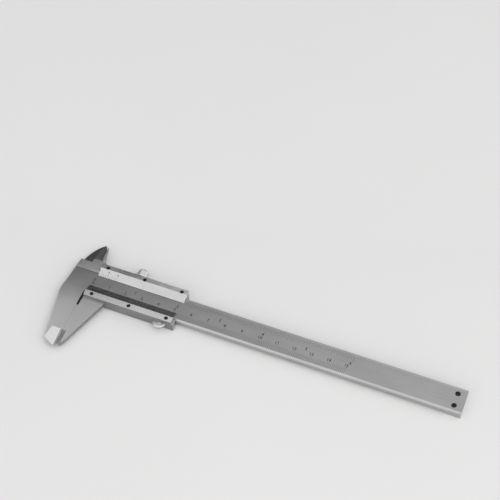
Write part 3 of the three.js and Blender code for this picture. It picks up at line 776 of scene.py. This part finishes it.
def set_screw(node):
    """A headless slotted screw in the place of a CAD screw, its slot towards +Y."""
    low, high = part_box(node)
    radius = (high.x - low.x) / 2
    length = high.y - low.y
    rings = [
        (0, 0),
        (radius - SET_SCREW_EASE, 0),
        (radius, -SET_SCREW_EASE),
        (radius, -length + SET_SCREW_EASE),
        (radius - SET_SCREW_EASE, -length),
        (0, -length),
    ]
    groove = block(
        (-PAST_SCREW, -SET_SLOT_HALF_WIDTH, -SET_SLOT_DEPTH),
        (PAST_SCREW, SET_SLOT_HALF_WIDTH, PAST_SCREW),
    )
    bm = subtract(lathe(rings, SHANK_SIDES), groove)
    centre_x, _, centre_z = middle(low, high)
    stand_along_y(bm, centre_x, high.y, centre_z)
    return bm


def make_screws():
    turns = iter(SLOT_TURNS)
    for row in ("upper", "lower"):
        for i in (1, 2, 3):
            node = f"{row}_plate_screw_{i}"
            bm = slotted_screw(node, next(turns), **PLATE_SCREW)
            finish_piece(bm, f"{row}_screw_{i}", BLACKENED, "slider", [node])
    for i in (1, 2):
        node = f"end_stop_screw_{i}"
        bm = slotted_screw(node, next(turns), **END_SCREW)
        finish_piece(bm, f"end_screw_{i}", BLACKENED, "beam", [node])
    for i in (1, 2):
        node = f"depth_rod_screw_{i}"
        bm = slotted_screw(node, next(turns), **ROD_SCREW)
        finish_piece(bm, f"rod_screw_{i}", BLACKENED, "slider", [node])
    for i in (1, 2, 3, 4):
        node = f"back_cover_screw_{i}"
        bm = slotted_screw(node, next(turns), **COVER_SCREW)
        finish_piece(bm, f"cover_screw_{i}", BLACKENED, "slider", [node])
    for i in (1, 2):
        node = f"gib_set_screw_{i}"
        finish_piece(set_screw(node), f"set_screw_{i}", BLACKENED, "slider", [node])


# ---- turned and knurled parts ----
ROLLER_TEETH = 52
ROLLER_TOOTH = 0.17 * MM  # depth of a tooth
ROLLER_BORE = 0.68 * MM
ROLLER_EASE = 0.3 * MM
ROLLER_LIP = 0.05 * MM
BORE_EASE = 0.08 * MM
DISH_DEPTH = 0.22 * MM  # the ring sunk into the roller's face
PIN_EASE = 0.06 * MM
# points of the pin's domed end: millimetres down from its end and in from its side
PIN_DOME = ((0.14, 0), (0.05, 0.05), (0.01, 0.16))

LOCK_TEETH = 24
LOCK_TOOTH = 0.2 * MM  # depth of a tooth
DIAMOND_ROWS = 5.2  # how many times a spiral groove passes a line along the head
COLLAR_HEIGHT = 0.5 * MM  # the plain collar past the knurled head
HEAD_AND_COLLAR = 4.9 * MM
HEAD_CORNER = 0.35 * MM
COLLAR_INSET = 0.9 * MM
COLLAR_EASE = 0.15 * MM
NECK_RADIUS = 1.6 * MM
THREAD_RADIUS = 1.2 * MM
THREAD_LENGTH = 1.5 * MM
THREAD_TIP_RADIUS = 0.9 * MM
THREAD_TIP_LENGTH = 0.3 * MM
PAD_EASE = 0.08 * MM


def ripple(value):
    """A triangle wave from 1 down to 0 and back, once for each whole number."""
    return abs((value % 1.0) * 2 - 1)


def make_roller():
    low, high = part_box("thumb_roller")
    radius = (high.x - low.x) / 2
    height = high.z - low.z
    steps = 6
    rings = [(radius - ROLLER_EASE - ROLLER_LIP, 0), (radius, ROLLER_EASE)]
    for i in range(1, steps):
        rings.append((radius, ROLLER_EASE + (height - 2 * ROLLER_EASE) * i / steps))
    rings += [
        (radius, height - ROLLER_EASE),
        (radius - ROLLER_EASE - ROLLER_LIP, height),
        (radius * 0.72, height),
        (radius * 0.66, height - DISH_DEPTH),
        (radius * 0.34, height - DISH_DEPTH),
        (radius * 0.3, height),
        (ROLLER_BORE + BORE_EASE, height),
        (ROLLER_BORE, height - BORE_EASE),
        (ROLLER_BORE, BORE_EASE),
        (ROLLER_BORE + BORE_EASE, 0),
    ]

    def reach(r, z, angle):
        """Straight teeth round the rim."""
        if r < radius * 0.99:
            return r
        return r - ROLLER_TOOTH * (1 - ripple(angle * ROLLER_TEETH / (2 * math.pi)))

    bm = lathe(rings, ROLLER_TEETH * 6, reach)
    mark_worn(bm, lambda p: math.hypot(p.x, p.y) > radius - 0.06 * MM)
    centre_x, centre_y, _ = middle(low, high)
    bm.transform(Matrix.Translation((centre_x, centre_y, low.z)))
    finish_piece(bm, "knurled_roller", KNURLED, "thumb_roller", ["thumb_roller"])


def make_roller_pin():
    low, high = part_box("roller_pin")
    radius = (high.x - low.x) / 2
    length = high.z - low.z
    rings = [(0, 0), (radius - PIN_EASE, 0), (radius, PIN_EASE)]
    rings += [(radius - inset * MM, length - drop * MM) for drop, inset in PIN_DOME]
    rings.append((0, length))
    bm = lathe(rings, SHANK_SIDES)
    centre_x, centre_y, _ = middle(low, high)
    bm.transform(Matrix.Translation((centre_x, centre_y, low.z)))
    finish_piece(bm, "pin_of_roller", GROUND, "slider", ["roller_pin"])


def lock_screw_mesh(top, radius):
    """The lock screw, from its tip at height 0 to its collar at the top, with a diamond knurl."""
    head_top = top - COLLAR_HEIGHT
    head_foot = top - HEAD_AND_COLLAR
    corner = (radius - HEAD_CORNER, radius - 0.02 * MM)
    steps = 22
    rings = [
        (0, 0),
        (THREAD_TIP_RADIUS, 0),
        (THREAD_RADIUS, THREAD_TIP_LENGTH),
        (THREAD_RADIUS, THREAD_LENGTH),
        (NECK_RADIUS, THREAD_LENGTH),
        (NECK_RADIUS, head_foot),
        (corner[0], head_foot),
        (corner[1], head_foot + HEAD_CORNER),
    ]
    for i in range(1, steps):
        height = head_foot + HEAD_CORNER + (head_top - head_foot - 2 * HEAD_CORNER) * i / steps
        rings.append((radius, height))
    collar = radius - COLLAR_INSET
    rings += [
        (corner[1], head_top - HEAD_CORNER),
        (corner[0], head_top),
        (collar, head_top),
        (collar, top - COLLAR_EASE),
        (collar - COLLAR_EASE, top),
        (collar * 0.45, top),
        (0, top - 0.05 * MM),
    ]

    def reach(r, z, angle):
        """Two sets of spiral grooves that cross."""
        if r < radius * 0.98:
            return r
        around = angle * LOCK_TEETH / (2 * math.pi)
        along = (z - head_foot) / (head_top - head_foot) * DIAMOND_ROWS
        cut = max(1 - ripple(around + along) * 2, 1 - ripple(around - along) * 2, 0)
        return r - LOCK_TOOTH * min(cut, 1)

    bm = lathe(rings, LOCK_TEETH * 8, reach)
    mark_worn(bm, lambda p: math.hypot(p.x, p.y) > radius - 0.05 * MM)
    return bm


def make_lock_parts():
    low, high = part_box("lock_screw")
    centre_x, _, centre_z = middle(low, high)
    bm = lock_screw_mesh(high.y - low.y, (high.x - low.x) / 2)
    stand_along_y(bm, centre_x, low.y, centre_z)
    finish_piece(bm, "knurled_lock_screw", KNURLED, "lock_screw", ["lock_screw"])

    low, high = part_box("lock_pad")
    radius = (high.x - low.x) / 2
    length = high.y - low.y
    rings = [
        (0, 0),
        (radius - PAD_EASE, 0),
        (radius, PAD_EASE),
        (radius, length - PAD_EASE),
        (radius - PAD_EASE, length),
        (0, length),
    ]
    bm = lathe(rings, SHANK_SIDES)
    stand_along_y(bm, centre_x, low.y, centre_z)
    finish_piece(bm, "brass_pad", BRASS, "lock_pad", ["lock_pad"])


# ---- graduations: shallow filled lines and figures on a flat face ----
PROUD = 0.012 * MM  # how far the fill stands out of the face
BURIED = 0.03 * MM  # how far it reaches into the face
LINE = 0.11 * MM  # width of a line
FIGURE_SIZE = 0.69  # height of a figure in the built-in font, at size 1
FIRST_LINE = 3.0  # where the scales start, in millimetres from the jaws' contact line
INCH = 25.4

# Where lines end across a face, in millimetres. The pairs are: every so many lines, a line ends here.
METRIC_FOOT = -6.55
METRIC_TOPS = ((10, -2.35), (5, -2.7), (1, -3.05))
INCH_TOP = 5.9
INCH_FEET = ((16, 2.3), (8, 2.6), (4, 2.9), (2, 3.25), (1, 3.6))
UPPER_FOOT = 0.12
UPPER_TOPS = ((4, 2.2), (1, 1.6))
LOWER_TOP = -0.12
LOWER_FEET = ((2, -2.1), (1, -1.5))

BEAM_FIGURE = {"height": 1.8, "weight": 0.035}
UPPER_FIGURE = {"height": 1.3, "align": "CENTER"}
LOWER_FIGURE = {"height": 1.25, "align": "CENTER"}

UPPER_STEP = INCH * 7 / 16 / 8  # 8 divisions over 7/16 inch
LOWER_STEP = 39 / 20  # 20 divisions over 39 mm


class Face:
    """A flat face to draw on: right is along X, and up is the way the figures stand."""

    def __init__(self, origin, up):
        self.origin = origin
        self.right = Vector((1, 0, 0))
        self.up = up.normalized()
        self.out = self.right.cross(self.up)

    def point(self, x, y, z):
        return self.origin + self.right * x + self.up * y + self.out * z

    def matrix(self, x, y):
        turn = Matrix((self.right, self.up, self.out)).transposed().to_4x4()
        return Matrix.Translation(self.point(x, y, 0)) @ turn


def line_end(ends, i):
    """Where line number i ends."""
    return next(y for step, y in ends if i % step == 0)


def add_line(bm, face, x, y0, y1):
    """One line across the face at x millimetres, from y0 to y1."""
    corners = []
    for z in (-BURIED, PROUD):
        for y in (y0 * MM, y1 * MM):
            for side in (-0.5, 0.5):
                corners.append(bm.verts.new(face.point(x * MM + side * LINE, y, z)))
    a, b, c, d, e, f, g, h = corners
    for loop in ((a, b, d, c), (e, g, h, f), (a, e, f, b), (c, d, h, g), (a, c, g, e), (b, f, h, d)):
        bm.faces.new(loop)


def add_figure(bm, face, number, x, y, height, align="LEFT", weight=0.0):
    """A number standing on the face, its lower left or lower middle at x, y, in millimetres."""
    curve = bpy.data.curves.new("figure", "FONT")
    curve.body = str(number)
    curve.size = height * MM / FIGURE_SIZE
    curve.extrude = (PROUD + BURIED) / 2
    curve.offset = weight * MM
    curve.resolution_u = 3
    curve.align_x = align
    thing = bpy.data.objects.new("figure", curve)
    bpy.context.scene.collection.objects.link(thing)
    bpy.context.view_layer.update()
    mesh = bpy.data.meshes.new_from_object(thing.evaluated_get(bpy.context.evaluated_depsgraph_get()))
    lift = Matrix.Translation((0, 0, (PROUD - BURIED) / 2))
    mesh.transform(face.matrix(x * MM, y * MM) @ lift)
    bm.from_mesh(mesh)
    bpy.data.objects.remove(thing)
    bpy.data.curves.remove(curve)
    bpy.data.meshes.remove(mesh)


def finish_marks(bm, name, body):
    bmesh.ops.remove_doubles(bm, verts=bm.verts, dist=MARK_WELD)
    finish_piece(bm, name, INK, body)


def make_beam_scales():
    face = Face(at(0, 0, 0) - Vector((0, 0, SCALE_DEPTH)), Vector((0, 1, 0)))
    metric = bmesh.new()
    for i in range(151):
        add_line(metric, face, FIRST_LINE + i, METRIC_FOOT, line_end(METRIC_TOPS, i))
    for i in range(16):
        add_figure(metric, face, i, FIRST_LINE + 10 * i - 1.35, -2.0, **BEAM_FIGURE)
    finish_marks(metric, "beam_metric_scale", "beam")

    inches = bmesh.new()
    for i in range(97):
        add_line(inches, face, FIRST_LINE + INCH * i / 16, line_end(INCH_FEET, i), INCH_TOP)
    for i in range(7):
        add_figure(inches, face, i, FIRST_LINE + INCH * i - 1.45, 0.3, **BEAM_FIGURE)
    finish_marks(inches, "beam_inch_scale", "beam")


def make_vernier_scales():
    edge_z = UPPER_LOW.z + PLATE_EDGE
    rise = UPPER_HIGH.z - edge_z
    face = Face(Vector((ORIGIN.x, UPPER_LOW.y, edge_z)), Vector((0, UPPER_BEVEL, rise)))
    upper = bmesh.new()
    for i in range(9):
        add_line(upper, face, FIRST_LINE + UPPER_STEP * i, UPPER_FOOT, line_end(UPPER_TOPS, i))
    for i in (0, 4, 8):
        add_figure(upper, face, i, FIRST_LINE + UPPER_STEP * i, 2.6, **UPPER_FIGURE)
    finish_marks(upper, "upper_vernier_scale", "slider")

    edge_z = LOWER_LOW.z + PLATE_EDGE
    rise = LOWER_HIGH.z - edge_z
    face = Face(Vector((ORIGIN.x, LOWER_HIGH.y, edge_z)), Vector((0, LOWER_BEVEL, -rise)))
    lower = bmesh.new()
    for i in range(21):
        add_line(lower, face, FIRST_LINE + LOWER_STEP * i, line_end(LOWER_FEET, i), LOWER_TOP)
    for i in range(11):
        add_figure(lower, face, i, FIRST_LINE + 2 * LOWER_STEP * i, -3.8, **LOWER_FIGURE)
    finish_marks(lower, "lower_vernier_scale", "slider")


# ---- floor, light and camera ----
FLOOR_HALF_SIZE = 3.0  # metres
BACKDROP_RADIUS = 2.9
BACKDROP_HEIGHT = 4.0

# the foot of the card at its two ends, and its height
CARD_LEFT = at(-110, 20, FLOOR_Z)
CARD_RIGHT = at(360, 152, FLOOR_Z)
CARD_HEIGHT = 95 * MM

BRIGHT_SIDE = (0.55, -0.45, 0.70)  # the direction in which the surroundings are brightest
# brightness of the surroundings, from straight away from the bright side at 0 to the bright side at 1
WORLD_STOPS = (
    (0.0, 0.22),
    (0.27, 0.24),
    (0.45, 0.32),
    (0.53, 0.5),
    (0.6, 0.74),
    (0.7, 0.85),
    (0.85, 1.0),
    (1.0, 1.03),
)
WORLD_BLUE = 1.01  # blue against red and green

CAMERA_PLACE = at(245.64, -386.7, 630.1)
CAMERA_LOOK = (-0.2153, 0.5583, -0.8012)
CAMERA_ROLL = 0.0039  # radians
SENSOR_WIDTH = 36
FOCAL_LENGTH = 98.75


def add_prop(name, bm, material):
    """An object that is not part of the caliper."""
    mesh = bpy.data.meshes.new(name)
    bm.to_mesh(mesh)
    bm.free()
    mesh.materials.append(material)
    prop = bpy.data.objects.new(name, mesh)
    bpy.context.scene.collection.objects.link(prop)
    return prop


def make_floor():
    bm = bmesh.new()
    bmesh.ops.create_grid(bm, x_segments=8, y_segments=8, size=FLOOR_HALF_SIZE)
    floor = add_prop("floor", bm, floor_paint("floor_paint"))


def make_backdrop():
    """A plain pale wall a long way round the caliper, which only the camera sees."""
    bm = bmesh.new()
    bmesh.ops.create_cone(
        bm,
        cap_ends=False,
        segments=96,
        radius1=BACKDROP_RADIUS,
        radius2=BACKDROP_RADIUS,
        depth=BACKDROP_HEIGHT,
    )
    shader = Shader("backdrop_paper")
    cloud = shader.noise(even(2), detail=2.0)
    shader.coat(grey(0.0), 1.0)
    shader.feed(shader.blend(cloud, grey(0.68), grey(0.72)), shader.surface.inputs["Emission Color"])
    shader.surface.inputs["Emission Strength"].default_value = 1.0
    wall = add_prop("backdrop", bm, shader.material)
    wall.data.shade_smooth()
    wall.visible_diffuse = False
    wall.visible_glossy = False
    wall.visible_shadow = False
    wall.visible_transmission = False


def make_dark_card():
    """A dark card behind the caliper, seen only in reflections, which shades the shiny faces."""
    height = Vector((0, 0, CARD_HEIGHT))
    bm = bmesh.new()
    corners = (CARD_LEFT, CARD_RIGHT, CARD_RIGHT + height, CARD_LEFT + height)
    bm.faces.new([bm.verts.new(corner) for corner in corners])
    shader = Shader("dark_cloth")
    weave = shader.noise(even(700), detail=2.0)
    shader.coat(shader.blend(weave, grey(0.03), grey(0.05)), 0.9)
    card = add_prop("dark_card", bm, shader.material)
    card.visible_camera = False
    card.visible_diffuse = False
    card.visible_shadow = False
    card.visible_transmission = False


def make_world():
    """Soft studio surroundings: bright overhead and to the front right, dimmer low down behind."""
    world = bpy.data.worlds.new("studio")
    bpy.context.scene.world = world
    world.use_nodes = True
    tree = world.node_tree
    tree.nodes.clear()
    place = tree.nodes.new("ShaderNodeTexCoord")
    dot = tree.nodes.new("ShaderNodeVectorMath")
    dot.operation = "DOT_PRODUCT"
    dot.inputs[1].default_value = Vector(BRIGHT_SIDE).normalized()
    tree.links.new(place.outputs["Generated"], dot.inputs[0])
    spread = tree.nodes.new("ShaderNodeMapRange")
    spread.inputs["From Min"].default_value = -1.0
    spread.inputs["From Max"].default_value = 1.0
    tree.links.new(dot.outputs["Value"], spread.inputs["Value"])
    ramp = tree.nodes.new("ShaderNodeValToRGB")
    elements = ramp.color_ramp.elements
    while len(elements) < len(WORLD_STOPS):
        elements.new(0.5)
    for element, (position, value) in zip(elements, WORLD_STOPS):
        element.position = position
        element.color = (value, value, value * WORLD_BLUE, 1)
    tree.links.new(spread.outputs["Result"], ramp.inputs["Fac"])
    background = tree.nodes.new("ShaderNodeBackground")
    background.inputs["Strength"].default_value = 1.0
    tree.links.new(ramp.outputs["Color"], background.inputs["Color"])
    output = tree.nodes.new("ShaderNodeOutputWorld")
    tree.links.new(background.outputs["Background"], output.inputs["Surface"])


def add_softbox(name, direction, distance, size, power):
    """A square lamp that faces the caliper. Its distance and size are in metres, its power in watts."""
    light = bpy.data.lights.new(name, "AREA")
    light.shape = "SQUARE"
    light.size = size
    light.energy = power
    lamp = bpy.data.objects.new(name, light)
    lamp.location = Vector(direction).normalized() * distance
    lamp.rotation_euler = (-lamp.location).to_track_quat("-Z", "Y").to_euler()
    bpy.context.scene.collection.objects.link(lamp)


def make_camera():
    look = Vector(CAMERA_LOOK).normalized()
    level = look.cross(Vector((0, 0, 1))).normalized()
    above = level.cross(look)
    right = level * math.cos(CAMERA_ROLL) + above * math.sin(CAMERA_ROLL)
    up = above * math.cos(CAMERA_ROLL) - level * math.sin(CAMERA_ROLL)
    data = bpy.data.cameras.new("camera")
    data.sensor_width = SENSOR_WIDTH
    data.lens = FOCAL_LENGTH
    data.clip_start = 0.02
    data.clip_end = 20
    camera = bpy.data.objects.new("camera", data)
    turn = Matrix((right, up, -look)).transposed().to_4x4()
    camera.matrix_world = Matrix.Translation(CAMERA_PLACE) @ turn
    bpy.context.scene.collection.objects.link(camera)
    bpy.context.scene.camera = camera


make_beam()
make_slider()
make_vernier_plates()
make_plain_parts()
make_screws()
make_roller()
make_roller_pin()
make_lock_parts()
make_beam_scales()
make_vernier_scales()
make_floor()
make_backdrop()
make_dark_card()
make_world()
add_softbox("key_light", direction=(0.45, -0.25, 0.87), distance=1.3, size=0.8, power=4.0)
add_softbox("fill_light", direction=(-0.6, -0.9, 0.7), distance=1.6, size=0.9, power=1.5)
make_camera()
bpy.context.scene.view_settings.view_transform = "Standard"


def corners(bounds):
    return [list(map(float, corner)) for corner in bounds]
